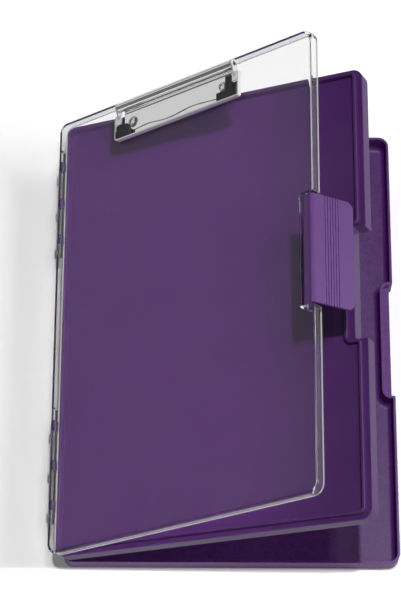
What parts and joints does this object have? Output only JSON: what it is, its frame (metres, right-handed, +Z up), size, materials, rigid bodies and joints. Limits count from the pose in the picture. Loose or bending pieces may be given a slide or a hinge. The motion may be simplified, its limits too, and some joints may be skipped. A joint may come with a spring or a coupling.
{
  "type": "storage clipboard box",
  "caption": "Flat storage clipboard: shallow base tray, hinged middle tray and hinged clear lid with a paper clip on top and a side latch, standing open.",
  "frame": {"origin": "middle of the base tray's underside", "axes": "+Z up, +X from the hinge side to the latch side, +Y towards the paper clip"},
  "size_m": [0.2558, 0.343, 0.194],
  "materials": {
    "base_plastic": "fine grain",
    "middle_plastic": "fine grain",
    "clear_plastic": "clear and polished",
    "latch_plastic": "satin",
    "dark_pin": "satin black",
    "pin_steel": "drawn",
    "spring_steel": "drawn wire",
    "clip_chrome": "polished",
    "rivet_chrome": "polished",
    "black_rubber": "matte"
  },
  "bodies": {
    "base": {"base_tray": "base_plastic", "base_hinge_pin_rear": "dark_pin", "base_hinge_pin_front": "dark_pin"},
    "middle_tray": {"middle_tray": "middle_plastic", "lid_hinge_pin_rear": "dark_pin", "lid_hinge_pin_front": "dark_pin"},
    "lid": {"clear_lid": "clear_plastic", "latch_hinge_pin": "pin_steel", "clip_base_plate": "clip_chrome", "clip_pivot_rod": "pin_steel", "clip_spring_left": "spring_steel", "clip_spring_right": "spring_steel", "clip_rivet_left": "rivet_chrome", "clip_rivet_right": "rivet_chrome", "rivet_washer_left": "pin_steel", "rivet_washer_right": "pin_steel"},
    "latch": {"latch": "latch_plastic"},
    "clip_jaw": {"clip_jaw": "clip_chrome", "clip_grip_left": "black_rubber", "clip_grip_right": "black_rubber"}
  },
  "joints": [
    {"name": "middle_tray_hinge", "type": "hinge", "parent": "base", "child": "middle_tray", "pos_m": [-0.1252, 0, 0.0175], "axis": [0, -1, 0], "range_deg": [-25, 55]},
    {"name": "lid_hinge", "type": "hinge", "parent": "middle_tray", "child": "lid", "pos_m": [-0.1304, 0, 0.02865], "axis": [0, -1, 0], "range_deg": [-15.2, 69.8]},
    {"name": "latch_hinge", "type": "hinge", "parent": "lid", "child": "latch", "pos_m": [0.04946, 0.0025, 0.18718], "axis": [0, -1, 0], "range_deg": [-17.6, 72.4]},
    {"name": "clip_jaw_hinge", "type": "hinge", "parent": "lid", "child": "clip_jaw", "pos_m": [-0.04304, 0.1632, 0.11831], "axis": [-0.7638, 0, -0.6455], "range_deg": [0, 60], "stiffness_Nm_per_rad": 0.2, "springref_deg": -57.3}
  ]
}
